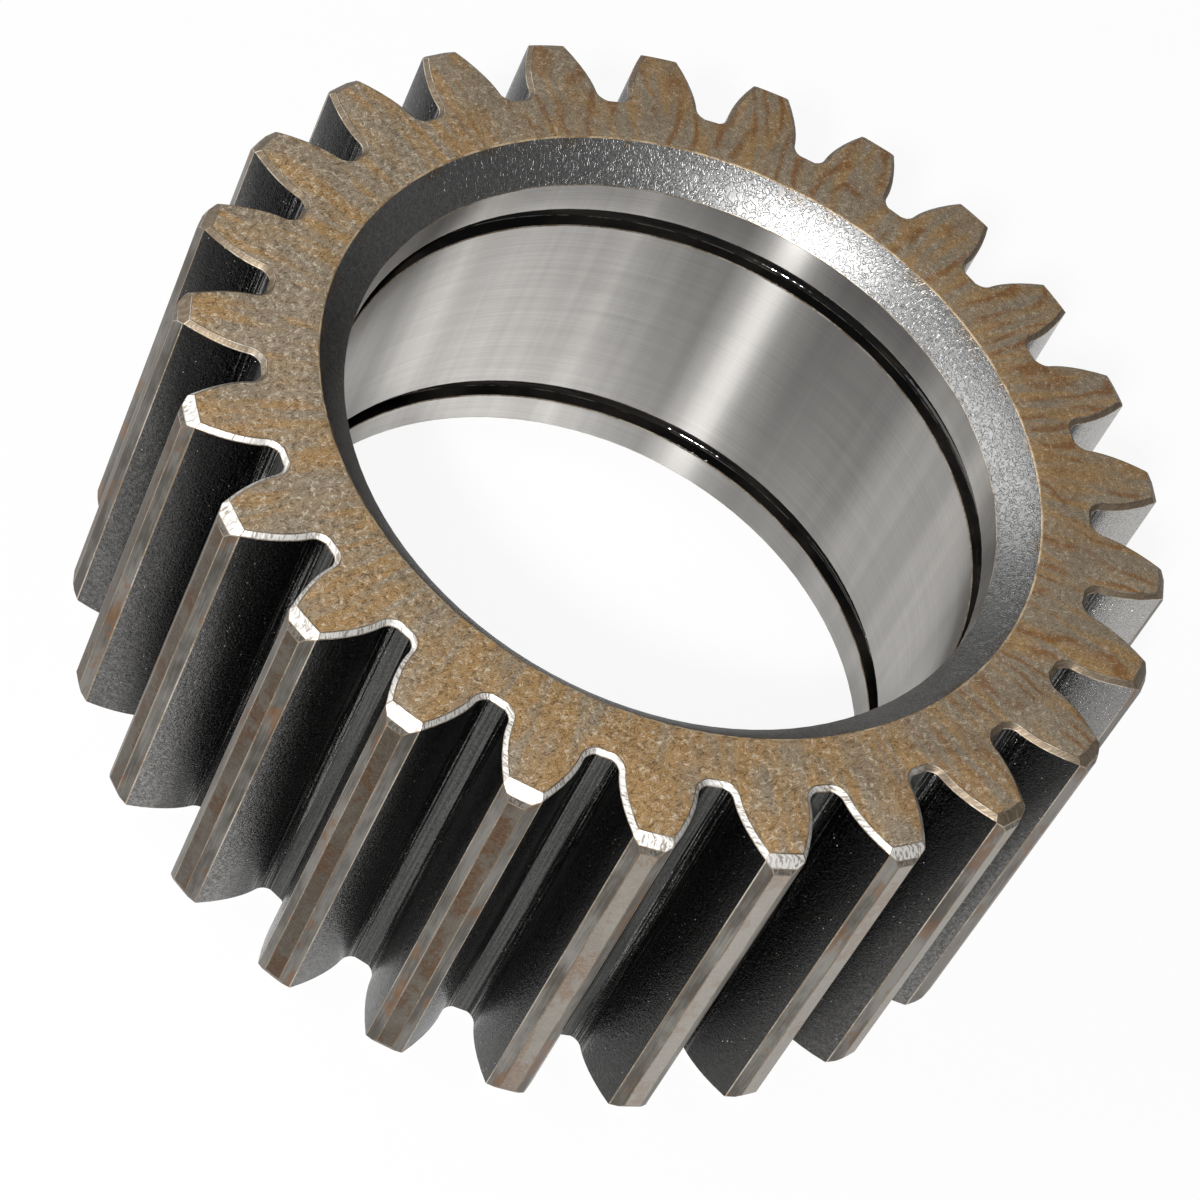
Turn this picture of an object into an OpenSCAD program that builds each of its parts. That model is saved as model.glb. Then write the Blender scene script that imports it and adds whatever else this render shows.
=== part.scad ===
// Planet gear: a straight-cut external gear with a wide through bore.
// One solid piece of steel, standing on either end face.
// The origin is the centre of the bore at half the face width, +Z along the axis.

/* [Teeth] */

// Number of teeth
teeth = 25; // [23:1:40]

// Module, the pitch diameter for each tooth
tooth_module = 4; // [3.6:0.1:6]

// Pressure angle of the involute flanks
pressure_angle = 20; // [17.5:0.5:22]

// Profile shift, as a share of the module
profile_shift = 0.3; // [0.1:0.05:0.5]

// Amount taken off the full tooth height by turning the blank
tip_trim = 0.7; // [0.3:0.1:1.2]

// Root depth below the pitch circle, as a share of the module
root_depth = 1.4; // [1.25:0.05:1.45]

// Radius of the root fillets
root_fillet_r = 1.6; // [1.5:0.05:1.75]

// Height of the flat root floor above the lowest point of the two fillets
root_flat_h = 0.1; // [0:0.02:0.2]

// Width of the flat left in the middle of each tooth tip
tip_land_w = 1.8; // [1.2:0.1:2.4]

// Height of the lengthwise chamfer on both corners of each tip
tip_chamfer_h = 0.8; // [0.4:0.1:1.2]

/* [Tooth ends] */

// Face width of the gear
face_w = 48; // [44:1:80]

// Chamfer that follows the whole tooth profile at both ends
end_chamfer = 0.5; // [0.2:0.05:0.8]

// Steep turned chamfer on the tips at both ends
tip_cone_h = 1.1; // [0.8:0.1:1.8]

// Radial depth of the shallow turned cone below it
lead_cone_h = 0.3; // [0.1:0.05:0.6]

// Length of the shallow turned cone along the axis
lead_cone_l = 0.7; // [0.4:0.1:1.6]

/* [Bore] */

// Diameter of the ground bore for the bearing
bore_d = 72; // [50:1:74]

// Chamfer at both rims of the bore
bore_chamfer = 3.7; // [1:0.1:4.2]

/* [Ring grooves] */

// Length of the bearing seat between the two ring grooves
seat_l = 27.2; // [16:0.1:29]

// Width of each ring groove
groove_w = 2.65; // [1.6:0.05:3.2]

// Depth of each ring groove below the bore
groove_depth = 1.5; // [0.8:0.1:2]

/* [Hidden] */

// Steps along one involute flank and along one root fillet
flank_steps = 7;
fillet_steps = 5;

// Extra height and length of the raw shapes, cut away again by the turning and boring
spare_h = 0.6;
overshoot = 1;
round_steps = 180;

// Circles of the teeth
pitch_r = teeth * tooth_module / 2;
base_r = pitch_r * cos(pressure_angle);
root_r = pitch_r - (root_depth - profile_shift) * tooth_module;
tip_r = pitch_r + (1 + profile_shift) * tooth_module - tip_trim;
flank_top_r = tip_r - tip_chamfer_h;

// Half the angle that one tooth takes up on the base circle
half_tooth = 90 / teeth + involute(pressure_angle)
    + degrees(2 * profile_shift * tan(pressure_angle) / teeth);

// Roll of the fillet centre: the fillet sits on the root circle and touches the flank
fillet_roll = sqrt(max(pow(root_r + root_fillet_r, 2) - pow(base_r, 2), pow(root_fillet_r, 2)));
fillet_angle = half_tooth + degrees(root_fillet_r / base_r) - involute(atan(fillet_roll / base_r));
fillet_centre = norm([fillet_roll, base_r]) * unit(fillet_angle);

// Roll at the lower and upper end of the working flank
roll_low = fillet_roll - root_fillet_r;
roll_high = sqrt(pow(flank_top_r, 2) - pow(base_r, 2));

// Line of the lengthwise tip chamfer, carried on past the tip by the spare height
flank_top = flank_point(roll_high);
land_corner = [tip_r, tip_land_w / 2];
chamfer_run = (land_corner - flank_top) / (land_corner[0] - flank_top[0]);
tip_end = land_corner + chamfer_run * spare_h;

// Directions at which the fillet starts on the flank and ends on the flat root floor
fillet_start = direction_to(flank_point(roll_low));
fillet_end = direction_to([0, 0]) + acos(1 - root_flat_h / root_fillet_r);

// One side of a tooth from tip to root, the whole tooth, and all teeth round the gear
tooth_side = concat(
    [tip_end],
    [for (i = [0 : flank_steps]) flank_point(between(roll_high, roll_low, i / flank_steps))],
    [for (i = [1 : fillet_steps]) fillet_point(between(fillet_start, fillet_end, i / fillet_steps))]
);
side_last = len(tooth_side) - 1;
tooth = concat(
    [for (i = [side_last : -1 : 0]) [tooth_side[i][0], -tooth_side[i][1]]],
    tooth_side
);
tooth_outline = [for (k = [0 : teeth - 1]) for (p = tooth) turned(p, k * 360 / teeth)];
outline_count = len(tooth_outline);

// Planes along the axis and radii of the bore
half_w = face_w / 2;
groove_in_z = seat_l / 2;
groove_out_z = groove_in_z + groove_w;
bore_r = bore_d / 2;
groove_r = bore_r + groove_depth;
tip_cone_z = half_w - tip_cone_h;
lead_cone_z = tip_cone_z - lead_cone_l;
tip_cone_r = tip_r - lead_cone_h;

function degrees(a) = a * 180 / PI;
function between(a, b, t) = a + (b - a) * t;
function unit(a) = [cos(a), sin(a)];
function turned(p, a) = [p[0] * cos(a) - p[1] * sin(a), p[0] * sin(a) + p[1] * cos(a)];

// Polar angle lost along an involute at a given pressure angle
function involute(a) = degrees(tan(a)) - a;

// Point of the flank after a given length of roll on the base circle
function flank_point(roll) =
    norm([roll, base_r]) * unit(half_tooth - involute(atan(roll / base_r)));

function direction_to(p) = atan2(p[1] - fillet_centre[1], p[0] - fillet_centre[0]);
function fillet_point(a) = fillet_centre + root_fillet_r * unit(a);

// Unit normal into the metal on the edge that leaves point i, and the mitred inset point
function edge_of(i) = tooth_outline[(i + 1) % outline_count] - tooth_outline[i % outline_count];
function inward(i) = [-edge_of(i)[1], edge_of(i)[0]] / norm(edge_of(i));
function inset_point(i, depth) =
    let (a = inward(i + outline_count - 1), b = inward(i))
    tooth_outline[i] + depth * (a + b) / (1 + a * b);

// The outline lifted to a height, inset into the metal by a depth
function ring_at(z, depth) =
    [for (i = [0 : outline_count - 1]) concat(inset_point(i, depth), [z])];

// Side faces between one ring of points and the next, and the fan that closes an end
function ring_faces(first) =
    [for (i = [0 : outline_count - 1])
        [first + i, first + outline_count + i,
            first + outline_count + (i + 1) % outline_count, first + (i + 1) % outline_count]];
function end_fan(first, hub, up) =
    [for (i = [0 : outline_count - 1])
        up ? [hub, first + (i + 1) % outline_count, first + i]
            : [hub, first + i, first + (i + 1) % outline_count]];

// Raw toothed bar: its sides lean in at both ends along the chamfer, past the finished end faces
module toothed_bar() {
    raw_half_w = half_w + overshoot / 2;
    raw_inset = end_chamfer + overshoot / 2;
    hub = 4 * outline_count;
    polyhedron(
        points = concat(
            ring_at(-raw_half_w, raw_inset),
            ring_at(end_chamfer - half_w, 0),
            ring_at(half_w - end_chamfer, 0),
            ring_at(raw_half_w, raw_inset),
            [[0, 0, -raw_half_w], [0, 0, raw_half_w]]
        ),
        faces = concat(
            ring_faces(0),
            ring_faces(outline_count),
            ring_faces(2 * outline_count),
            end_fan(0, hub, false),
            end_fan(3 * outline_count, hub + 1, true)
        ),
        convexity = 10
    );
}

// Turned blank: flat end faces, tip cylinder, and a shallow and a steep cone at each end
module turned_blank() {
    rotate_extrude($fn = round_steps)
        polygon([
            [0, -half_w],
            [tip_cone_r - tip_cone_h, -half_w],
            [tip_cone_r, -tip_cone_z],
            [tip_r, -lead_cone_z],
            [tip_r, lead_cone_z],
            [tip_cone_r, tip_cone_z],
            [tip_cone_r - tip_cone_h, half_w],
            [0, half_w]
        ]);
}

// Everything that is bored out: seat, two ring grooves and the two rim chamfers
module bore_cut() {
    far_z = half_w + overshoot;
    far_r = bore_r + bore_chamfer + overshoot;
    rotate_extrude($fn = round_steps)
        polygon([
            [0, -far_z],
            [far_r, -far_z],
            [bore_r, bore_chamfer - half_w],
            [bore_r, -groove_out_z],
            [groove_r, -groove_out_z],
            [groove_r, -groove_in_z],
            [bore_r, -groove_in_z],
            [bore_r, groove_in_z],
            [groove_r, groove_in_z],
            [groove_r, groove_out_z],
            [bore_r, groove_out_z],
            [bore_r, half_w - bore_chamfer],
            [far_r, far_z],
            [0, far_z]
        ]);
}

module planet_gear() {
    color("#8a7a66")
        difference() {
            intersection() {
                toothed_bar();
                turned_blank();
            }
            bore_cut();
        }
}

planet_gear();
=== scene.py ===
import math

import bmesh
import bpy
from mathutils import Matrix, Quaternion, Vector


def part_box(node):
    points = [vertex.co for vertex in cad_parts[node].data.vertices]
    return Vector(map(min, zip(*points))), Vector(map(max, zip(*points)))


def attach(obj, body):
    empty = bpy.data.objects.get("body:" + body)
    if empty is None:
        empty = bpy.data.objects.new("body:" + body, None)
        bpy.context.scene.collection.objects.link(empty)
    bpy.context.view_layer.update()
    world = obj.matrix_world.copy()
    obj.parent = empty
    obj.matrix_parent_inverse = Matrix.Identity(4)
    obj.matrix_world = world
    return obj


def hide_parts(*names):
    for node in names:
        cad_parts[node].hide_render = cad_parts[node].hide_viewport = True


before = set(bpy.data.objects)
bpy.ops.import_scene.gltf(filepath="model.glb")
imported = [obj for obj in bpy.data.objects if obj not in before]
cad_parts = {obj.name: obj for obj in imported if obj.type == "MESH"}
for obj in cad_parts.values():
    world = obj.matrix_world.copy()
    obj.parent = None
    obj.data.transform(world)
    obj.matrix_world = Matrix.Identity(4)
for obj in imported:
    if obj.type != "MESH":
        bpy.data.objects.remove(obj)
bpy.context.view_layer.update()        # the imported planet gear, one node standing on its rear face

scene = bpy.context.scene
scene.view_settings.view_transform = "Standard"
print("planet gear: frame loaded")


# Camera: the photo's own viewing point, worked out from the tooth tips and the bore circles
viewPoint = {
    "place": (-0.233226, 0.189212, 0.324693),
    "turn": (0.595711, 0.069542, -0.353193, -0.718016),
    "lens": 122.94,                          # mm, on a sensor 36 mm wide
    "sensor": 36.0,
    "nearest": 0.01,
    "farthest": 20.0,
}


def makeCamera(look):
    data = bpy.data.cameras.new("photoCamera")
    data.sensor_fit = "HORIZONTAL"
    data.sensor_width = look["sensor"]
    data.lens = look["lens"]
    data.clip_start = look["nearest"]
    data.clip_end = look["farthest"]
    camera = bpy.data.objects.new("photoCamera", data)
    camera.rotation_mode = "QUATERNION"
    camera.location = look["place"]
    camera.rotation_quaternion = Quaternion(look["turn"]).normalized()
    scene.collection.objects.link(camera)
    return camera


scene.camera = makeCamera(viewPoint)
print("camera placed")


# Shader maths: a Field is one socket, and an expression on Fields adds the Math nodes
class Field:
    def __init__(self, nodes, socket):
        self.nodes = nodes
        self.socket = socket

    def math(self, operation, *rest, first=None, clamp=False):
        values = (self if first is None else first,) + rest
        settings = {"operation": operation, "use_clamp": clamp}
        return self.nodes.node("Math", settings, dict(enumerate(values)))

    def __add__(self, other):
        return self.math("ADD", other)

    __radd__ = __add__

    def __sub__(self, other):
        return self.math("SUBTRACT", other)

    def __rsub__(self, other):
        return self.math("SUBTRACT", self, first=other)

    def __mul__(self, other):
        return self.math("MULTIPLY", other)

    __rmul__ = __mul__

    def __truediv__(self, other):
        return self.math("DIVIDE", other)

    def __rtruediv__(self, other):
        return self.math("DIVIDE", self, first=other)

    def __abs__(self):
        return self.math("ABSOLUTE")

    def clamped(self):
        return self.math("ADD", 0.0, clamp=True)

    def ramp(self, low, high, start=0.0, end=1.0):  # smooth step from low to high
        settings = {"interpolation_type": "SMOOTHSTEP"}
        sockets = {"Value": self, "From Min": low, "From Max": high, "To Min": start, "To Max": end}
        return self.nodes.node("MapRange", settings, sockets)

    def besides(self, *names):  # other outputs of the node that this field comes from
        return [Field(self.nodes, self.socket.node.outputs[name]) for name in names]


# The nodes of one material or world: node() makes any of them, settings first and sockets after
class NodeTree:
    def __init__(self, owner):
        owner.use_nodes = True
        self.tree = owner.node_tree
        self.tree.nodes.clear()

    def node(self, kind, settings=None, sockets=None, out=0):
        made = self.tree.nodes.new("ShaderNode" + kind)
        for name, value in (settings or {}).items():
            setattr(made, name, value)
        for name, value in (sockets or {}).items():
            self.feed(made.inputs[name], value)
        return Field(self, made.outputs[out]) if made.outputs else None

    def feed(self, socket, value):
        if isinstance(value, Field):
            self.tree.links.new(value.socket, socket)
        elif isinstance(value, tuple) and socket.type == "RGBA":
            socket.default_value = (*value, 1.0)
        else:
            socket.default_value = value

    def seenStraight(self):  # 1 for what the camera sees directly or through glass
        return (self.ray("Is Camera Ray") + self.ray("Is Transmission Ray")).clamped()

    def ray(self, name):
        return self.node("LightPath", out=name)


# One finish: positions in millimetres, and the few patterns and mixes that come up often
class Finish(NodeTree):
    def __init__(self, name):
        self.material = bpy.data.materials.new(name)
        super().__init__(self.material)
        place = self.node("TexCoord", out="Object")
        self.mm = self.node("VectorMath", {"operation": "SCALE"}, {0: place, "Scale": 1000.0})
        self.x = self.node("SeparateXYZ", {}, {0: self.mm})
        self.y, self.z = self.x.besides("Y", "Z")

    def noise(self, size, along=None, shift=(0.0, 0.0, 0.0), vector=None,
              detail=2.0, roughness=0.5, distortion=0.0):  # size in mm
        if along:
            vector = self.stretched(along, shift)
        settings = {"noise_dimensions": "3D", "noise_type": "FBM"}
        sockets = {"Vector": vector or self.mm, "Scale": 1.0 / size, "Detail": detail,
                   "Roughness": roughness, "Distortion": distortion}
        return self.node("TexNoise", settings, sockets, "Fac")

    def rayNoise(self, reach, length, **pattern):  # along the radius, true to size at the reach
        radius = self.radius()
        rays = self.joined(self.x / radius * reach, self.y / radius * reach, radius * length)
        return self.noise(vector=rays, **pattern)

    def curls(self, size, width, shift=(0.0, 0.0, 0.0), under=None):  # worm-like lines, 1 on a line
        moved = self.node("VectorMath", {"operation": "ADD"}, {0: under or self.mm, 1: shift})
        swirl = self.noise(size, vector=moved, detail=1.0, distortion=1.0)
        return 1.0 - abs(swirl - 0.5).ramp(0.0, width)

    def specks(self, size, core, rim):  # round specks, 1 inside the core and 0 outside the rim
        settings = {"voronoi_dimensions": "3D", "feature": "F1"}
        sockets = {"Vector": self.mm, "Scale": 1.0 / size, "Randomness": 1.0}
        return 1.0 - self.node("TexVoronoi", settings, sockets, "Distance").ramp(core, rim)

    def stretched(self, along, shift=(0.0, 0.0, 0.0), turn=0.0):  # turned, then scaled by axis
        vector = self.mm
        if turn:
            sockets = {"Vector": vector, "Rotation": (0.0, 0.0, math.radians(turn))}
            vector = self.node("Mapping", {"vector_type": "POINT"}, sockets)
        sockets = {"Vector": vector, "Scale": along, "Location": shift}
        return self.node("Mapping", {"vector_type": "POINT"}, sockets)

    def joined(self, x, y, z):
        return self.node("CombineXYZ", {}, {"X": x, "Y": y, "Z": z})

    def mix(self, factor, low, high, blend="MIX"):
        settings = {"data_type": "RGBA", "blend_type": blend, "clamp_factor": True}
        return self.node("Mix", settings, {0: factor, 6: low, 7: high}, out=2)

    def shaded(self, color, factor):
        return self.mix(1.0, color, factor, "MULTIPLY")

    def bump(self, height, depth, strength):  # depth in mm for a height of 1
        sockets = {"Height": height, "Distance": depth / 1000.0, "Strength": strength}
        return self.node("Bump", {}, sockets)

    def radius(self):
        return (self.x * self.x + self.y * self.y).math("SQRT")

    def angle(self, start=0.0):  # radians round the axis; the seam lies opposite the start
        turned = math.radians(start)
        ahead = self.x * math.cos(turned) + self.y * math.sin(turned)
        across = self.y * math.cos(turned) - self.x * math.sin(turned)
        return across.math("ARCTAN2", ahead)

    def facing(self, degrees):  # 1 on the side of the gear at that angle, -1 opposite
        turned = math.radians(degrees)
        return (self.x * math.cos(turned) + self.y * math.sin(turned)) / self.radius()

    def toned(self, degrees, start, full, tone):  # 1 all round, changing to the tone on one side
        return self.facing(degrees).ramp(start, full, 1.0, tone)

    def shader(self, sockets):
        shader = self.node("BsdfPrincipled", {}, sockets)
        self.node("OutputMaterial", {}, {"Surface": shader})
        return self.material


# In all the looks below, a pattern's size is in mm and "along" scales it by axis. A contrast or
# fade says where a step starts and ends, and then what it gives there where that isn't 0 and 1.
# A side is in degrees round the axis, and its fade in cosines of the angle from it. A share says
# how far a mix goes, and relief is the bump's depth in mm and its strength.

# End faces: heat-tinted tan over grey steel, with worm-like curls, the light ones partly painted
# glints, and wood-grain rust streaks
endFaceLook = {
    "tan": (0.385, 0.238, 0.104),
    "grey": (0.305, 0.243, 0.170),
    "rust": (0.250, 0.105, 0.026),
    "lightCurlGlint": (0.760, 0.665, 0.520),
    "darkCurl": (0.075, 0.050, 0.029),
    "metallic": 0.20,
    "roughness": 0.44,
    "trueRadius": 46.0,                      # patterns along the radius are true to size here
    "patches": {"length": 0.60, "size": 7.5, "distortion": 0.9},
    "patchShare": 0.42,
    "wash": {"length": 0.15, "size": 1.4, "distortion": 0.35},
    "washShare": 0.58,
    "tanContrast": (0.40, 0.60),
    "greySide": 55.0,
    "greyFade": (0.10, 0.90),
    "greyer": 0.045,
    "warmSide": 130.0,
    "warmFade": (0.30, 1.0),
    "warmer": 0.035,
    "rustySide": -75.0,
    "rustyFade": (-0.50, 0.55),
    "rustyGreyer": 0.035,
    "woodSize": 2.6,
    "woodSwirl": 5.0,
    "swirl": {"length": 0.55, "size": 8.0, "roughness": 0.45},
    "woodContrast": (0.22, 0.46),
    "woodPatches": {"size": 6.0, "along": (1.0, 1.0, 1.0), "shift": (17.0, 41.0, 0.0)},
    "woodPatchContrast": (0.40, 0.56),
    "woodRust": 0.75,
    "grain": {"size": 0.17, "roughness": 0.6, "distortion": 1.3},
    "grainContrast": (0.32, 0.68, 0.78, 1.24),
    "brightness": 1.09,
    "rustyDarker": 0.22,
    "curlFlow": (0.50, 1.0, 1.0),
    "curlTurn": 72.0,
    "curlSize": 0.48,
    "lightWidth": 0.064,
    "darkScale": 0.86,
    "darkWidth": 0.074,
    "darkShift": (31.0, 7.0, 3.0),
    "gate": {"size": 0.8, "along": (1.0, 1.0, 1.0), "shift": (5.0, 9.0, 0.0), "detail": 1.0},
    "gateContrast": (0.44, 0.60),
    "curlStrength": 0.72,
    "rustyFewerDark": 0.30,
    "rustyFewerLight": 0.42,
    "specks": (3.2, 0.02, 0.075),            # size, core and rim
    "speckRust": 0.8,
    "relief": (0.050, 1.0),
    "grainRelief": 0.7,
    "lightRelief": 0.6,
    "darkRelief": 0.4,
    "darkRougher": 0.10,
}


def makeEndFace(look):
    f = Finish("endFaceHeatTint")
    reach = look["trueRadius"]
    patches = f.rayNoise(reach, **look["patches"])
    wash = f.rayNoise(reach, **look["wash"])
    greySide = f.facing(look["greySide"]).ramp(*look["greyFade"])
    warmSide = f.facing(look["warmSide"]).ramp(*look["warmFade"])
    rustySide = f.facing(look["rustySide"]).ramp(*look["rustyFade"])
    warm = patches * look["patchShare"] + wash * look["washShare"]
    warm = warm - greySide * look["greyer"] - rustySide * look["rustyGreyer"]
    warm = warm + warmSide * look["warmer"]
    color = f.mix(warm.ramp(*look["tanContrast"]), look["grey"], look["tan"])

    swirl = f.rayNoise(reach, **look["swirl"])
    phase = f.angle(look["rustySide"]) * (reach / look["woodSize"]) + swirl * look["woodSwirl"]
    bands = abs(phase.math("FRACT") - 0.5).ramp(*look["woodContrast"])
    patchy = f.noise(**look["woodPatches"]).ramp(*look["woodPatchContrast"])
    color = f.mix(bands * patchy * rustySide * look["woodRust"], color, look["rust"])

    grain = f.noise(**look["grain"])
    brightness = look["brightness"] - rustySide * look["rustyDarker"]
    color = f.shaded(color, grain.ramp(*look["grainContrast"]) * brightness)

    flow = f.stretched(look["curlFlow"], turn=look["curlTurn"])
    darkSize = look["curlSize"] * look["darkScale"]
    lightNet = f.curls(look["curlSize"], look["lightWidth"], under=flow)
    darkNet = f.curls(darkSize, look["darkWidth"], look["darkShift"], under=flow)
    gate = f.noise(**look["gate"]).ramp(*look["gateContrast"])
    darkAmount = look["curlStrength"] - rustySide * look["rustyFewerDark"]
    lightAmount = look["curlStrength"] - rustySide * look["rustyFewerLight"]
    color = f.mix(darkNet * (1.0 - gate) * darkAmount, color, look["darkCurl"])
    # the light curls are partly scratch marks and partly painted glints
    color = f.mix(lightNet * gate * lightAmount, color, look["lightCurlGlint"])
    color = f.mix(f.specks(*look["specks"]) * look["speckRust"], color, look["rust"])

    height = grain * look["grainRelief"] + lightNet * gate * look["lightRelief"]
    height = height - darkNet * look["darkRelief"]
    return f.shader({
        "Base Color": color, "Roughness": look["roughness"] + darkNet * look["darkRougher"],
        "Metallic": look["metallic"], "Normal": f.bump(height, *look["relief"]),
    })


# Flanks and fillets: black satin grit with fine light specks, a grey sheen painted in towards the
# tip and the lower end that is partly wear where the teeth work and partly painted reflection, sides
# of the gear painted lighter and darker as painted light, a brighter side that is partly polish and
# partly painted sheen, and lengthwise hob lines near the root
flankLook = {
    "black": (0.008, 0.008, 0.0078),
    "grey": (0.365, 0.357, 0.345),
    "speck": (0.66, 0.63, 0.57),
    "polishedSheen": (0.560, 0.550, 0.530),
    "metallic": 1.0,
    "roughness": 0.20,
    "gritRougher": 0.10,
    "grit": {"size": 0.34, "roughness": 0.6, "distortion": 1.2},
    "gritContrast": (0.36, 0.64, 0.34, 1.00),
    "cloud": {"size": 7.0, "along": (1.0, 1.0, 0.30), "detail": 3.0, "roughness": 0.55},
    "cloudReach": 24.0,                      # mm that the clouds move the sheen's edge up or down
    "wornSheenRadii": (46.8, 52.0),
    "slantRadius": 50.0,                     # outside it the sheen's edge climbs by the slant
    "slant": 6.0,
    "sheenHeights": (10.0, -36.0, 0.05, 0.82),
    # painted light: each side of the gear is painted lighter or darker as the light falls on it
    "sides": [                               # middle in degrees, start and full reach, brightness
        (-105.0, 0.10, 0.85, 0.85),
        (170.0, 0.66, 1.0, 0.15),
        (72.0, 0.85, 1.0, 0.60),
    ],
    "cleanAndLitSide": -92.0,
    "cleanAndLitFade": (0.55, 0.95),
    "cleanAndLitRadii": (46.4, 48.0),
    "cleanAndLitShare": 0.85,
    "lines": {"size": 0.22, "along": (1.0, 1.0, 0.012), "detail": 3.0, "roughness": 0.6},
    "lineContrast": (0.50, 0.60),
    "lineRadii": (46.6, 48.8),
    "lineShare": 0.6,
    "keep": {"size": 2.2, "detail": 1.0},
    "keepContrast": (0.47, 0.58),
    "specks": (0.80, 0.060, 0.120),
    "speckShare": 0.9,
    "relief": (0.145, 1.0),
    "lineRelief": 0.26,
    "speckRelief": 0.3,
}


def makeFlank(look):
    f = Finish("flankBlackGrit")
    grit = f.noise(**look["grit"])
    cloud = f.noise(**look["cloud"])
    wornSheen = f.radius().ramp(*look["wornSheenRadii"])
    lower = f.z - (f.radius() - look["slantRadius"]) * look["slant"]
    lower = lower + (cloud - 0.5) * look["cloudReach"]
    # painted sheen: grey towards the tip and the lower end, partly wear where the teeth work and
    # partly painted reflection of the floor
    sheen = wornSheen * lower.ramp(*look["sheenHeights"]) * grit.ramp(*look["gritContrast"])
    # painted light: sides of the gear painted lighter and darker as the light falls
    for side in look["sides"]:
        sheen = sheen * f.toned(*side)
    color = f.mix(sheen.clamped(), look["black"], look["grey"])
    # partly polish and partly painted sheen: a brighter, more reflective tone on one side of the
    # gear
    cleanAndLit = f.facing(look["cleanAndLitSide"]).ramp(*look["cleanAndLitFade"])
    cleanAndLit = cleanAndLit * f.radius().ramp(*look["cleanAndLitRadii"])
    color = f.mix(cleanAndLit * look["cleanAndLitShare"], color, look["polishedSheen"])

    lines = f.noise(**look["lines"])
    hobbed = lines.ramp(*look["lineContrast"]) * (1.0 - f.radius().ramp(*look["lineRadii"]))
    color = f.mix(hobbed * look["lineShare"], color, look["grey"])
    keep = f.noise(**look["keep"]).ramp(*look["keepContrast"])
    specks = f.specks(*look["specks"]) * keep
    color = f.mix(specks * look["speckShare"], color, look["speck"])

    height = grit + lines * look["lineRelief"] + specks * look["speckRelief"]
    return f.shader({
        "Base Color": color, "Roughness": look["roughness"] + grit * look["gritRougher"],
        "Metallic": look["metallic"], "Normal": f.bump(height, *look["relief"]),
    })


# Root floor: a narrow flat strip with the hob's lengthwise lines in satin grey
rootLook = {
    "dark": (0.020, 0.020, 0.019),
    "light": (0.105, 0.104, 0.100),
    "metallic": 0.55,
    "roughness": 0.42,
    "gritRougher": 0.1,
    "lines": {"size": 0.20, "along": (1.0, 1.0, 0.012), "detail": 3.0, "roughness": 0.6},
    "lineShare": 0.55,
    "grit": {"size": 0.22, "roughness": 0.7},
    "gritShare": 0.45,
    "contrast": (0.38, 0.64),
    "relief": (0.024, 0.9),
    "lineRelief": 0.6,
    "gritRelief": 0.7,
}


def makeRoot(look):
    f = Finish("rootFloorHobbed")
    lines = f.noise(**look["lines"])
    grit = f.noise(**look["grit"])
    tone = (lines * look["lineShare"] + grit * look["gritShare"]).ramp(*look["contrast"])
    height = lines * look["lineRelief"] + grit * look["gritRelief"]
    return f.shader({
        "Base Color": f.mix(tone, look["dark"], look["light"]),
        "Roughness": look["roughness"] + grit * look["gritRougher"],
        "Metallic": look["metallic"], "Normal": f.bump(height, *look["relief"]),
    })


# Tooth tips: what the land, the chamfers and the lead cones share, rusty on one side of the gear and
# rubbed clean on the other, where the lands and chamfers are also painted lighter as painted light
tipWearAndLight = {
    "rust": (0.190, 0.076, 0.014),
    "metallic": 0.70,
    "cleanAndLitSide": 185.0,
    "cleanAndLitFade": (0.70, 0.98),
}


def tipCleanAndLit(f):
    return f.facing(tipWearAndLight["cleanAndLitSide"]).ramp(*tipWearAndLight["cleanAndLitFade"])


# Tip lands: turned round the gear, with rust blotches
tipLandLook = {
    "steel": (0.245, 0.205, 0.153),
    "tan": (0.172, 0.120, 0.072),
    "cleanAndLit": (0.310, 0.298, 0.278),
    "line": (0.380, 0.350, 0.300),
    "roughness": 0.40,
    "cloudRougher": 0.12,
    "cloud": {"size": 4.5, "along": (1.0, 1.0, 0.45), "detail": 4.0, "roughness": 0.62,
              "distortion": 0.6},
    "cloudContrast": (0.42, 0.58),
    "cleanAndLitShare": 0.75,
    "blotch": {"size": 3.4, "along": (1.0, 1.0, 0.55), "shift": (9.0, 4.0, 17.0), "detail": 5.0,
               "roughness": 0.68},
    "blotchContrast": (0.50, 0.56),
    "blotchShare": 0.90,
    "cleanFewer": 0.65,
    "lines": {"size": 0.16, "along": (0.05, 0.05, 1.0)},
    "lineContrast": (0.45, 0.75),
    "lineShare": 0.25,
    "curlSize": 0.6,
    "curlWidth": 0.08,
    "curlShare": 0.35,
    "brightness": 0.36,
    "litSideBrighter": 0.80,
    "relief": (0.018, 0.8),
    "lineRelief": 0.5,
    "cloudRelief": 0.4,
    "curlRelief": 0.4,
}


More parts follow.
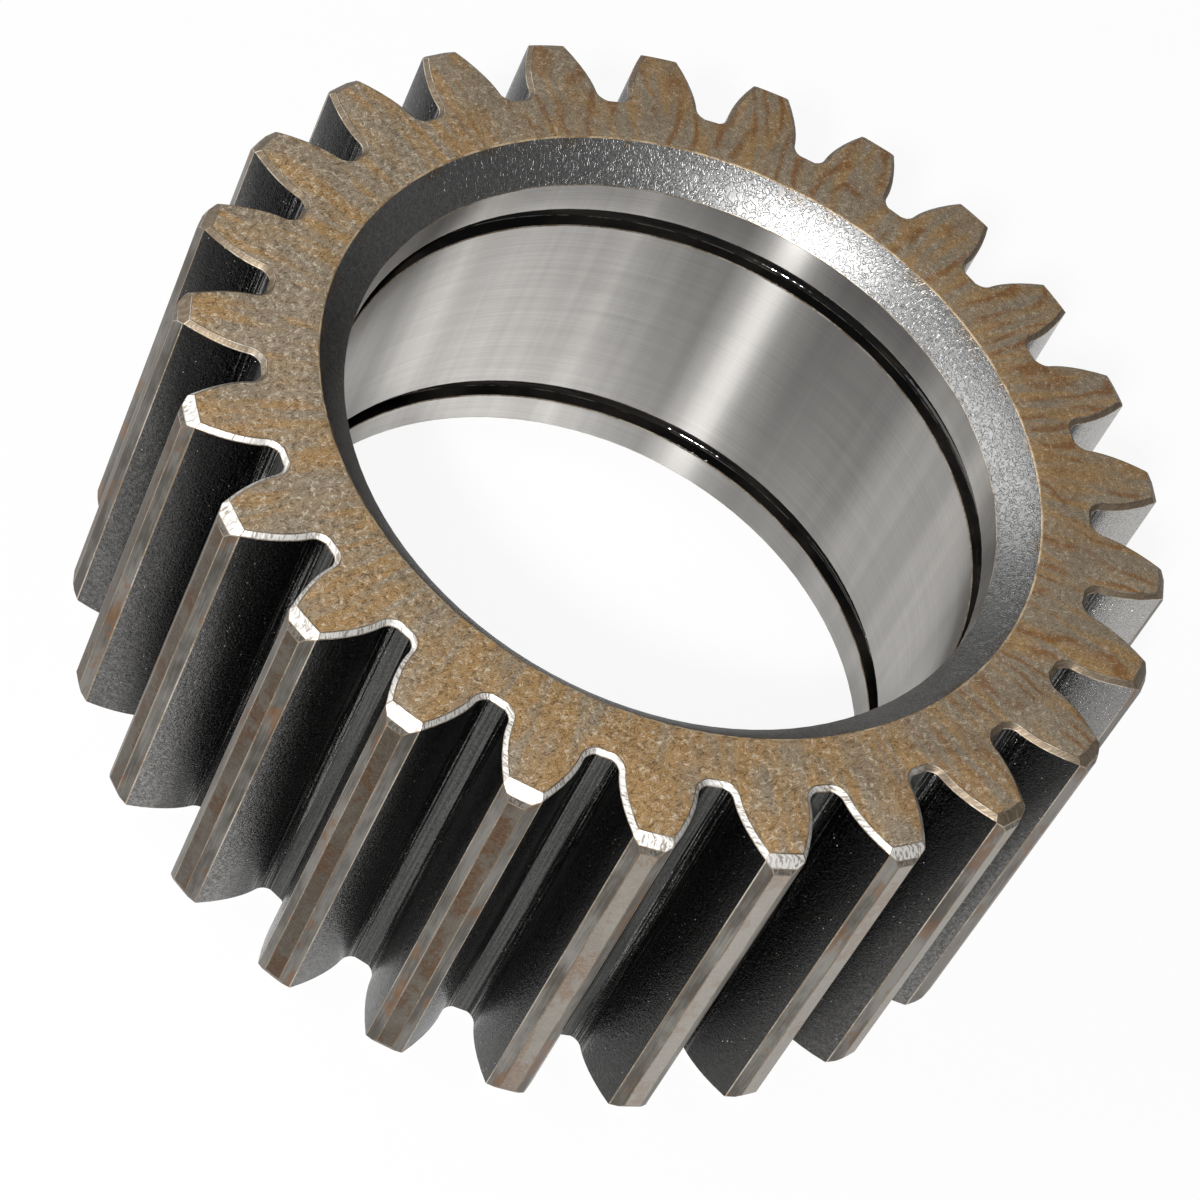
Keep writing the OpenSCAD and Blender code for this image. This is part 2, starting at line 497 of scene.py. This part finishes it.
def makeTipLand(look):
    f = Finish("tipLandTurned")
    cleanAndLit = tipCleanAndLit(f)
    cloud = f.noise(**look["cloud"])
    blotch = f.noise(**look["blotch"]).ramp(*look["blotchContrast"])
    lines = f.noise(**look["lines"])
    curls = f.curls(look["curlSize"], look["curlWidth"])
    blotchAmount = look["blotchShare"] - cleanAndLit * look["cleanFewer"]
    color = f.mix(cloud.ramp(*look["cloudContrast"]), look["tan"], look["steel"])
    color = f.mix(cleanAndLit * look["cleanAndLitShare"], color, look["cleanAndLit"])
    color = f.mix(blotch * blotchAmount, color, tipWearAndLight["rust"])
    color = f.mix(lines.ramp(*look["lineContrast"]) * look["lineShare"], color, look["line"])
    color = f.mix(curls * look["curlShare"], color, look["line"])
    # painted light: the land is painted darker on the rusty side and lighter on the clean and lit
    # side
    color = f.shaded(color, look["brightness"] + cleanAndLit * look["litSideBrighter"])
    height = lines * look["lineRelief"] + cloud * look["cloudRelief"] + curls * look["curlRelief"]
    return f.shader({
        "Base Color": color, "Roughness": look["roughness"] + cloud * look["cloudRougher"],
        "Metallic": tipWearAndLight["metallic"], "Normal": f.bump(height, *look["relief"]),
    })


# Tip chamfers: ground lengthwise on both corners of each tip
tipChamferLook = {
    "light": (0.300, 0.282, 0.255),
    "dark": (0.100, 0.087, 0.070),
    "roughness": 0.36,
    "cloudRougher": 0.1,
    "cloud": {"size": 5.0, "along": (1.0, 1.0, 0.4), "shift": (3.0, 5.0, 1.0), "detail": 4.0,
              "roughness": 0.62},
    "cloudShare": 0.75,
    "lines": {"size": 0.14, "along": (1.0, 1.0, 0.03), "detail": 3.0},
    "lineShare": 0.25,
    "contrast": (0.38, 0.62),
    "brightness": 0.64,
    "litSideBrighter": 0.16,
    "blotch": {"size": 3.6, "along": (1.0, 1.0, 0.5), "shift": (21.0, 2.0, 8.0), "detail": 5.0,
               "roughness": 0.68},
    "blotchContrast": (0.55, 0.63),
    "blotchShare": 0.60,
    "cleanFewer": 0.15,
    "relief": (0.014, 0.8),
    "cloudRelief": 0.3,
}


def makeTipChamfer(look):
    f = Finish("tipChamferGround")
    cleanAndLit = tipCleanAndLit(f)
    cloud = f.noise(**look["cloud"])
    lines = f.noise(**look["lines"])
    blotch = f.noise(**look["blotch"]).ramp(*look["blotchContrast"])
    blotchAmount = look["blotchShare"] - cleanAndLit * look["cleanFewer"]
    tone = (cloud * look["cloudShare"] + lines * look["lineShare"]).ramp(*look["contrast"])
    color = f.mix(tone, look["dark"], look["light"])
    # painted light: the chamfer is painted lighter on the clean and lit side
    color = f.shaded(color, look["brightness"] + cleanAndLit * look["litSideBrighter"])
    color = f.mix(blotch * blotchAmount, color, tipWearAndLight["rust"])
    height = lines + cloud * look["cloudRelief"]
    return f.shader({
        "Base Color": color, "Roughness": look["roughness"] + cloud * look["cloudRougher"],
        "Metallic": tipWearAndLight["metallic"], "Normal": f.bump(height, *look["relief"]),
    })


# Lead cones: the shallow dark cones below the tips at both ends
tipLeadLook = {
    "light": (0.210, 0.190, 0.165),
    "dark": (0.085, 0.074, 0.062),
    "roughness": 0.44,
    "lineRougher": 0.1,
    "lines": {"size": 0.24, "along": (1.0, 1.0, 0.3), "roughness": 0.6},
    "contrast": (0.36, 0.66),
    "relief": (0.020, 0.8),
}


def makeTipLead(look):
    f = Finish("tipLeadDark")
    lines = f.noise(**look["lines"])
    return f.shader({
        "Base Color": f.mix(lines.ramp(*look["contrast"]), look["dark"], look["light"]),
        "Roughness": look["roughness"] + lines * look["lineRougher"],
        "Metallic": tipWearAndLight["metallic"], "Normal": f.bump(lines, *look["relief"]),
    })


# End chamfers: ground across the band with dark lines where the wheel skipped, painted near white as
# a painted highlight on the side of the gear that faces the lamp, and brown on the other
endChamferLook = {
    "bright": (0.830, 0.810, 0.775),
    "brown": (0.095, 0.072, 0.048),
    "strokes": (0.225, 0.175, 0.120),
    "line": (0.200, 0.150, 0.100),
    "metallic": 0.60,
    "roughness": 0.42,
    "fineRougher": 0.14,
    "teeth": 25,
    "tipStart": 53.4,                        # radius above which the strokes run across the tip
    "slant": 0.70,
    "toothShift": 7.3,                       # sets one tooth's strokes apart from the next one's
    "lengthScale": 0.30,
    "fine": {"size": 0.20, "detail": 3.0, "roughness": 0.65},
    "coarse": {"size": 1.3},
    "skipContrast": (0.49, 0.57),
    "skipPatches": (0.34, 0.58, 0.40, 1.0),
    "skipShare": 0.80,
    "paintedHighlightSide": 137.0,
    "paintedHighlightFade": (0.52, 0.64),
    "waver": {"size": 6.0},
    "waverReach": 0.3,
    "strokeContrast": (0.42, 0.56),
    "relief": (0.050, 0.8),
    "fineRelief": 0.7,
    "coarseRelief": 0.3,
}


def makeEndChamfer(look):
    f = Finish("endChamferGround")
    toothTurns = f.angle() * (look["teeth"] / math.tau)
    toothNumber = toothTurns.math("ROUND")
    sideways = (toothTurns - toothNumber) * (math.tau / look["teeth"]) * f.radius()
    downFlank = (look["tipStart"] - f.radius()).math("MAXIMUM", 0.0)
    # Strokes are ruled across the band all the way round a tooth, and differ from tooth to tooth
    strokes = f.joined(sideways * look["slant"] + downFlank, toothNumber * look["toothShift"],
                       f.z * look["lengthScale"])
    fine = f.noise(vector=strokes, **look["fine"])
    coarse = f.noise(vector=strokes, **look["coarse"])
    skipped = fine.ramp(*look["skipContrast"]) * coarse.ramp(*look["skipPatches"])
    waver = (f.noise(**look["waver"]) - 0.5) * look["waverReach"]
    # painted highlight: the band turns near white where it faces the lamp
    bright = (f.facing(look["paintedHighlightSide"]) + waver).ramp(*look["paintedHighlightFade"])
    brown = f.mix(fine.ramp(*look["strokeContrast"]), look["strokes"], look["brown"])
    color = f.mix(bright, brown, look["bright"])
    color = f.mix(skipped * look["skipShare"], color, look["line"])
    height = fine * look["fineRelief"] + coarse * look["coarseRelief"]
    return f.shader({
        "Base Color": color, "Roughness": look["roughness"] + fine * look["fineRougher"],
        "Metallic": look["metallic"], "Normal": f.bump(height, *look["relief"]),
    })


# Rim chamfers of the bore: shot-blasted, with the wormy bumps of orange peel, painted darker on one
# side as painted shade, with the worms painted lighter there as painted glints and darker on the lit
# side, and with a little rust at the outer edge
rimLook = {
    "dark": (0.245, 0.245, 0.243),
    "light": (0.360, 0.360, 0.357),
    "tint": (0.260, 0.180, 0.100),
    "metallic": 1.0,
    "roughness": 0.37,
    "fineRougher": 0.08,
    "peel": {"size": 0.62, "detail": 1.0, "distortion": 1.1},
    "wormScale": 1.1,
    "wormWidth": 0.085,
    "wormShift": (3.0, 8.0, 21.0),
    "fine": {"size": 0.19, "roughness": 0.7},
    "shade": {"size": 0.42, "detail": 1.0},
    "shadeShare": 0.5,
    "shadeContrast": (0.30, 0.66),
    "shadedSide": 120.0,
    "shadeTone": (0.10, 0.95, 0.15),
    "wormTone": (-0.30, 0.80, -0.10, 0.70),
    "rustyRadii": (38.4, 39.7),
    "rusty": {"size": 3.0, "detail": 3.0},
    "rustyContrast": (0.48, 0.62),
    "rustyShare": 0.55,
    "relief": (0.030, 1.0),
    "peelRelief": 0.5,
    "wormRelief": 0.70,
    "fineRelief": 0.05,
}


def makeRim(look):
    f = Finish("rimShotBlasted")
    peel = f.noise(**look["peel"])
    wormSize = look["peel"]["size"] * look["wormScale"]
    worms = f.curls(wormSize, look["wormWidth"], look["wormShift"])
    fine = f.noise(**look["fine"])
    shade = f.noise(**look["shade"]) * look["shadeShare"] + fine * (1.0 - look["shadeShare"])
    color = f.mix(shade.ramp(*look["shadeContrast"]), look["dark"], look["light"])
    # painted shade: the rim is painted darker on one side
    color = f.shaded(color, f.toned(look["shadedSide"], *look["shadeTone"]))
    # painted glints: the worms are painted lighter on the shaded side and darker on the lit side
    wormTone = f.facing(look["shadedSide"]).ramp(*look["wormTone"])
    color = f.shaded(color, worms * wormTone + 1.0)
    rusty = f.radius().ramp(*look["rustyRadii"])
    rusty = rusty * f.noise(**look["rusty"]).ramp(*look["rustyContrast"])
    color = f.mix(rusty * look["rustyShare"], color, look["tint"])
    height = peel * look["peelRelief"] + worms * look["wormRelief"] + fine * look["fineRelief"]
    return f.shader({
        "Base Color": color, "Roughness": look["roughness"] + fine * look["fineRougher"],
        "Metallic": look["metallic"], "Normal": f.bump(height, *look["relief"]),
    })


# Bore: finely ground round the wall, so every light draws out into a band along the axis; its colour
# also carries painted reflection bands along the axis
boreLook = {
    "steel": (0.505, 0.492, 0.476),
    "shade": (0.412, 0.400, 0.384),
    "metallic": 1.0,
    "roughness": 0.310,
    "toneSmoother": 0.02,
    "drawnOut": 1.0,
    "drawnTurn": 0.25,                       # of a full turn, so that the light runs along the axis
    "fine": {"size": 0.10, "along": (0.010, 0.010, 1.0), "detail": 3.0, "roughness": 0.6},
    "fineShare": 0.50,
    "broad": {"size": 0.9, "along": (0.03, 0.03, 1.0), "shift": (5.0, 5.0, 5.0), "detail": 3.0,
              "roughness": 0.6},
    "broadShare": 0.20,
    "cloud": {"size": 16.0, "along": (1.0, 1.0, 0.3)},
    "cloudShare": 0.30,
    "contrast": (0.34, 0.66),
    "bands": {"size": 5.0, "along": (1.0, 1.0, 0.035), "detail": 4.0, "roughness": 0.60},
    "paintedBandTones": (0.30, 0.70, 0.88, 1.10),
    # painted reflection: lighter and darker bands at set angles round the bore
    "sides": [                               # middle in degrees, start and full reach, brightness
        (-1.0, 0.84, 0.97, 1.75),
        (-27.0, 0.975, 0.995, 0.82),
        (-59.0, 0.945, 0.985, 0.74),
    ],
    "relief": (0.0010, 0.5),
}


def makeBore(look):
    f = Finish("boreFineGround")
    fine = f.noise(**look["fine"])
    tone = fine * look["fineShare"] + f.noise(**look["broad"]) * look["broadShare"]
    tone = (tone + f.noise(**look["cloud"]) * look["cloudShare"]).ramp(*look["contrast"])
    color = f.mix(tone, look["shade"], look["steel"])
    # painted reflection: soft bands along the axis, lighter and darker at random
    color = f.shaded(color, f.noise(**look["bands"]).ramp(*look["paintedBandTones"]))
    # painted reflection and shade: brighter and darker tones at set angles round the bore
    for side in look["sides"]:
        color = f.shaded(color, f.toned(*side))
    return f.shader({
        "Base Color": color, "Roughness": look["roughness"] - tone * look["toneSmoother"],
        "Metallic": look["metallic"], "Anisotropic": look["drawnOut"],
        "Anisotropic Rotation": look["drawnTurn"], "Normal": f.bump(fine, *look["relief"]),
    })


# Ring grooves: oily black, with the oil drawn up at both corners so that it glints in places
grooveLook = {
    "oil": (0.0045, 0.0045, 0.0045),
    "grime": (0.016, 0.014, 0.012),
    "metallic": 0.0,
    "roughness": 0.07,
    "streakRougher": 0.03,
    "shine": 0.35,
    "middle": 14.925,                        # height of the groove's middle and half its width
    "halfWidth": 1.325,
    "streak": {"size": 1.4, "along": (0.2, 0.2, 1.0), "detail": 3.0},
    "streakContrast": (0.4, 0.7),
    "drops": {"size": 1.3, "along": (1.0, 1.0, 0.2), "detail": 1.0},
    "relief": (1.0, 1.0),
    "oilRelief": 0.85,
    "dropRelief": 0.10,
}


def makeGroove(look):
    f = Finish("grooveOilBlack")
    streak = f.noise(**look["streak"])
    across = (abs(f.z) - look["middle"]) / look["halfWidth"]
    drops = f.noise(**look["drops"])
    height = across * across * look["oilRelief"] + drops * look["dropRelief"]
    return f.shader({
        "Base Color": f.mix(streak.ramp(*look["streakContrast"]), look["oil"], look["grime"]),
        "Roughness": look["roughness"] + streak * look["streakRougher"],
        "Metallic": look["metallic"], "Specular IOR Level": look["shine"],
        "Normal": f.bump(height, *look["relief"]),
    })


# Groove corners: a thin wet line that comes and goes, painted lighter as a painted highlight
cornerLook = {
    "grime": (0.016, 0.014, 0.012),
    "wetHighlightLine": (0.120, 0.112, 0.100),
    "metallic": 0.6,
    "roughness": 0.25,
    "patchRougher": 0.1,
    "patches": {"size": 3.0, "detail": 3.0, "roughness": 0.6},
    "patchContrast": (0.40, 0.62),
}


def makeGrooveCorner(look):
    f = Finish("grooveCornerWetHighlight")
    patchy = f.noise(**look["patches"]).ramp(*look["patchContrast"])
    return f.shader({
        # painted highlight: the wet line is painted lighter than the grime
        "Base Color": f.mix(patchy, look["grime"], look["wetHighlightLine"]),
        "Roughness": look["roughness"] + patchy * look["patchRougher"],
        "Metallic": look["metallic"],
    })


# Worn edges: every sharp edge is rubbed, brightest round the bore and dull brown at the tips
edgeLook = {
    "edge": {"bright": (0.560, 0.500, 0.415), "dull": (0.270, 0.205, 0.140), "metallic": 0.85},
    "rim": {"bright": (0.880, 0.680, 0.430), "dull": (0.400, 0.265, 0.145), "metallic": 0.60},
    "tip": {"bright": (0.300, 0.250, 0.190), "dull": (0.160, 0.112, 0.070), "metallic": 0.60},
    "roughness": 0.34,
    "wearRougher": 0.12,
    "wear": {"size": 3.0, "along": (1.0, 1.0, 0.22), "detail": 3.0, "roughness": 0.6},
    "wearShare": 0.7,
    "nicks": {"size": 0.4},
    "nickShare": 0.3,
    "contrast": (0.42, 0.60),
    "relief": (0.02, 0.6),
}


def makeEdge(name, steel, look):
    f = Finish(name)
    wear = f.noise(**look["wear"])
    nicks = f.noise(**look["nicks"])
    tone = (wear * look["wearShare"] + nicks * look["nickShare"]).ramp(*look["contrast"])
    return f.shader({
        "Base Color": f.mix(tone, steel["dull"], steel["bright"]),
        "Roughness": look["roughness"] + wear * look["wearRougher"],
        "Metallic": steel["metallic"], "Normal": f.bump(nicks, *look["relief"]),
    })


def makeFinishes():
    return {
        "endFace": makeEndFace(endFaceLook),
        "flank": makeFlank(flankLook),
        "root": makeRoot(rootLook),
        "tipLand": makeTipLand(tipLandLook),
        "tipChamfer": makeTipChamfer(tipChamferLook),
        "tipLead": makeTipLead(tipLeadLook),
        "endChamfer": makeEndChamfer(endChamferLook),
        "rim": makeRim(rimLook),
        "bore": makeBore(boreLook),
        "groove": makeGroove(grooveLook),
        "grooveCorner": makeGrooveCorner(cornerLook),
        "edge": makeEdge("wornEdge", edgeLook["edge"], edgeLook),
        "rimEdge": makeEdge("wornRimEdge", edgeLook["rim"], edgeLook),
        "tipEdge": makeEdge("wornTipEdge", edgeLook["tip"], edgeLook),
    }


finishes = makeFinishes()
zone = {name: index for index, name in enumerate(finishes)}
print("finishes made:", len(finishes))


# Gear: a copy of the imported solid, its facets merged and its sharp edges rubbed round
gearShape = {
    "boreRadius": 0.0360,
    "rimReach": 0.0040,                      # outwards from the bore, and inwards from the end face
    "grooveReach": 0.0016,
    "tipRadius": 0.0545,
    "rootRadius": 0.0462,
    "mergeDistance": 2e-6,
    "flatAngle": 0.4,
    "sharpAngle": 20.0,
    "smoothAngle": 14.5,
    "edgeWidth": 0.00007,
    "lipWidth": 0.00012,
    "edgeSteps": 2,
    "cornerDepth": 0.001,                    # a rubbed edge deeper than this is no bore lip
    "tipEdgeDepth": 0.0003,
    "flatTilt": 0.99,                        # tilt: how far a face looks along the axis
    "rimTilt": 0.3,
    "endTilt": 0.55,
    "leadTilt": 0.25,
    "landOutward": 0.985,                    # outward: how far a face looks away from the axis
    "chamferOutward": 0.7,
    "rootOutward": 0.97,
    "landDepth": 0.0007,                     # depth: inwards from the tip circle
    "chamferDepth": 0.0010,
    "flatGap": 1e-5,
    "boreGap": 1e-4,
}


def radiusOf(face):
    middle = face.calc_center_median()
    return math.hypot(middle.x, middle.y)


def zoneOf(face, shape, halfWidth):
    middle = face.calc_center_median()
    radius = radiusOf(face)
    tilt = abs(face.normal.z)
    height = abs(middle.z)
    if tilt > shape["flatTilt"] and height > halfWidth - shape["flatGap"]:
        return "endFace"
    outward = (middle.x * face.normal.x + middle.y * face.normal.y) / radius
    beyondBore = radius - shape["boreRadius"]
    depth = shape["tipRadius"] - radius
    if beyondBore < shape["grooveReach"] or beyondBore < shape["rimReach"] and outward < 0.0:
        if tilt > shape["rimTilt"] and height > halfWidth - shape["rimReach"]:
            return "rim"
        if beyondBore < shape["boreGap"] and tilt < shape["rimTilt"]:
            return "bore"
        return "groove"
    if tilt > shape["endTilt"]:
        return "endChamfer"
    if tilt > shape["leadTilt"]:
        return "tipLead"
    if depth < shape["landDepth"] and outward > shape["landOutward"]:
        return "tipLand"
    if depth < shape["chamferDepth"] and outward > shape["chamferOutward"]:
        return "tipChamfer"
    if radius < shape["rootRadius"] and outward > shape["rootOutward"]:
        return "root"
    return "flank"


def rubbedZone(face, shape, boreSides, rimSides):
    radius = radiusOf(face)
    beyondBore = radius - shape["boreRadius"]
    deep = beyondBore > shape["cornerDepth"]
    if face.material_index in boreSides and deep:
        return "grooveCorner"
    if face.material_index in rimSides and deep and beyondBore < shape["rimReach"]:
        return "rimEdge"
    if radius > shape["tipRadius"] - shape["tipEdgeDepth"]:
        return "tipEdge"
    return "edge"


def zonesBeside(edge):
    return {face.material_index for face in edge.link_faces}


def rubEdges(bm, shape):
    plainSides = {zone["flank"], zone["root"]}
    boreSides = {zone["bore"], zone["groove"]}
    rimSides = {zone["endFace"], zone["rim"]}
    sharp = [edge for edge in bm.edges
             if edge.is_manifold and edge.calc_face_angle() > math.radians(shape["sharpAngle"])
             and not zonesBeside(edge) <= plainSides]
    lips = [edge for edge in sharp if zonesBeside(edge) in (boreSides, rimSides)]
    others = [edge for edge in sharp if zonesBeside(edge) not in (boreSides, rimSides)]
    print("gear:", len(bm.faces), "faces,", len(sharp), "sharp edges")
    rubbed = []
    for edges, width in ((lips, shape["lipWidth"]), (others, shape["edgeWidth"])):
        rubbed += bmesh.ops.bevel(
            bm, geom=edges, affect="EDGES", offset=width, offset_type="OFFSET",
            segments=shape["edgeSteps"], profile=0.5, material=-1, clamp_overlap=False,
            loop_slide=True)["faces"]
    for face in rubbed:
        face.material_index = zone[rubbedZone(face, shape, boreSides, rimSides)]


def makeGear(shape):
    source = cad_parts["planet_gear"]
    low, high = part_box("planet_gear")
    halfWidth = (high.z - low.z) / 2
    bm = bmesh.new()
    bm.from_mesh(source.data)
    bmesh.ops.remove_doubles(bm, verts=bm.verts, dist=shape["mergeDistance"])
    bmesh.ops.dissolve_limit(
        bm, angle_limit=math.radians(shape["flatAngle"]), use_dissolve_boundaries=False,
        verts=bm.verts, edges=bm.edges, delimit=set())
    bmesh.ops.recalc_face_normals(bm, faces=bm.faces)
    bm.normal_update()
    for face in bm.faces:
        face.material_index = zone[zoneOf(face, shape, halfWidth)]
        face.smooth = True
    rubEdges(bm, shape)
    smoothAngle = math.radians(shape["smoothAngle"])
    for edge in bm.edges:
        edge.smooth = not edge.is_manifold or edge.calc_face_angle() < smoothAngle
    mesh = bpy.data.meshes.new("planetGearDressed")
    bm.to_mesh(mesh)
    bm.free()
    for material in finishes.values():
        mesh.materials.append(material)
    gear = bpy.data.objects.new("planetGearDressed", mesh)
    scene.collection.objects.link(gear)
    return gear


planetGear = makeGear(gearShape)
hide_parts("planet_gear")
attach(planetGear, "root")
print("gear dressed:", len(planetGear.data.polygons), "faces")


# Floor: a plain pale sheet under the gear that keeps its shadow
floorLook = {
    "reach": 6.0,
    "corners": 96,
    "color": (0.90, 0.90, 0.90),
    "white": (1.0, 1.0, 1.0),
    "glow": 0.92,                            # share of white that the camera sees
    "glossyGlow": 0.45,                      # and that the metal mirrors
}


def makeFloor(look):
    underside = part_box("planet_gear")[0].z
    bm = bmesh.new()
    bmesh.ops.create_circle(bm, cap_ends=True, segments=look["corners"], radius=look["reach"])
    bmesh.ops.translate(bm, verts=bm.verts, vec=(0.0, 0.0, underside))
    mesh = bpy.data.meshes.new("paleFloor")
    bm.to_mesh(mesh)
    bm.free()
    floor = bpy.data.objects.new("paleFloor", mesh)
    scene.collection.objects.link(floor)
    material = bpy.data.materials.new("floorPale")
    nodes = NodeTree(material)
    seen = nodes.seenStraight() * look["glow"] + nodes.ray("Is Glossy Ray") * look["glossyGlow"]
    plain = nodes.node("BsdfDiffuse", {}, {"Color": look["color"]})
    glow = nodes.node("Emission", {}, {"Color": look["white"], "Strength": 1.0})
    both = nodes.node("MixShader", {}, {0: seen, 1: plain, 2: glow})
    nodes.node("OutputMaterial", {}, {"Surface": both})
    mesh.materials.append(material)
    return floor


paleFloor = makeFloor(floorLook)


# Studio light: a small lamp above the camera, a wide soft box on the left, and a dim room that
# the camera itself sees as white
studioLook = {
    "lamps": [
        {"name": "frontLamp", "place": (-0.757, 0.707, 0.900), "size": (0.08, 0.08), "power": 20.0},
        {"name": "leftSoftbox", "place": (0.728, 1.039, 0.592), "size": (1.60, 0.60), "power": 9.5},
    ],
    "room": 0.13,                            # strength that lights the gear
    "background": 1.0,                       # strength that the camera sees
    "white": (1.0, 1.0, 1.0),
}


def makeStudio(look):
    for lamp in look["lamps"]:
        data = bpy.data.lights.new(lamp["name"], "AREA")
        data.shape = "RECTANGLE"
        data.size, data.size_y = lamp["size"]
        data.energy = lamp["power"]
        placed = bpy.data.objects.new(lamp["name"], data)
        placed.location = lamp["place"]
        placed.rotation_mode = "QUATERNION"
        placed.rotation_quaternion = Vector(lamp["place"]).to_track_quat("Z", "Y")
        scene.collection.objects.link(placed)
    scene.world = bpy.data.worlds.new("studioRoom")
    nodes = NodeTree(scene.world)
    strength = nodes.seenStraight().ramp(0.0, 1.0, look["room"], look["background"])
    room = nodes.node("Background", {}, {"Color": look["white"], "Strength": strength})
    nodes.node("OutputWorld", {}, {"Surface": room})


makeStudio(studioLook)
print("floor and studio light set")
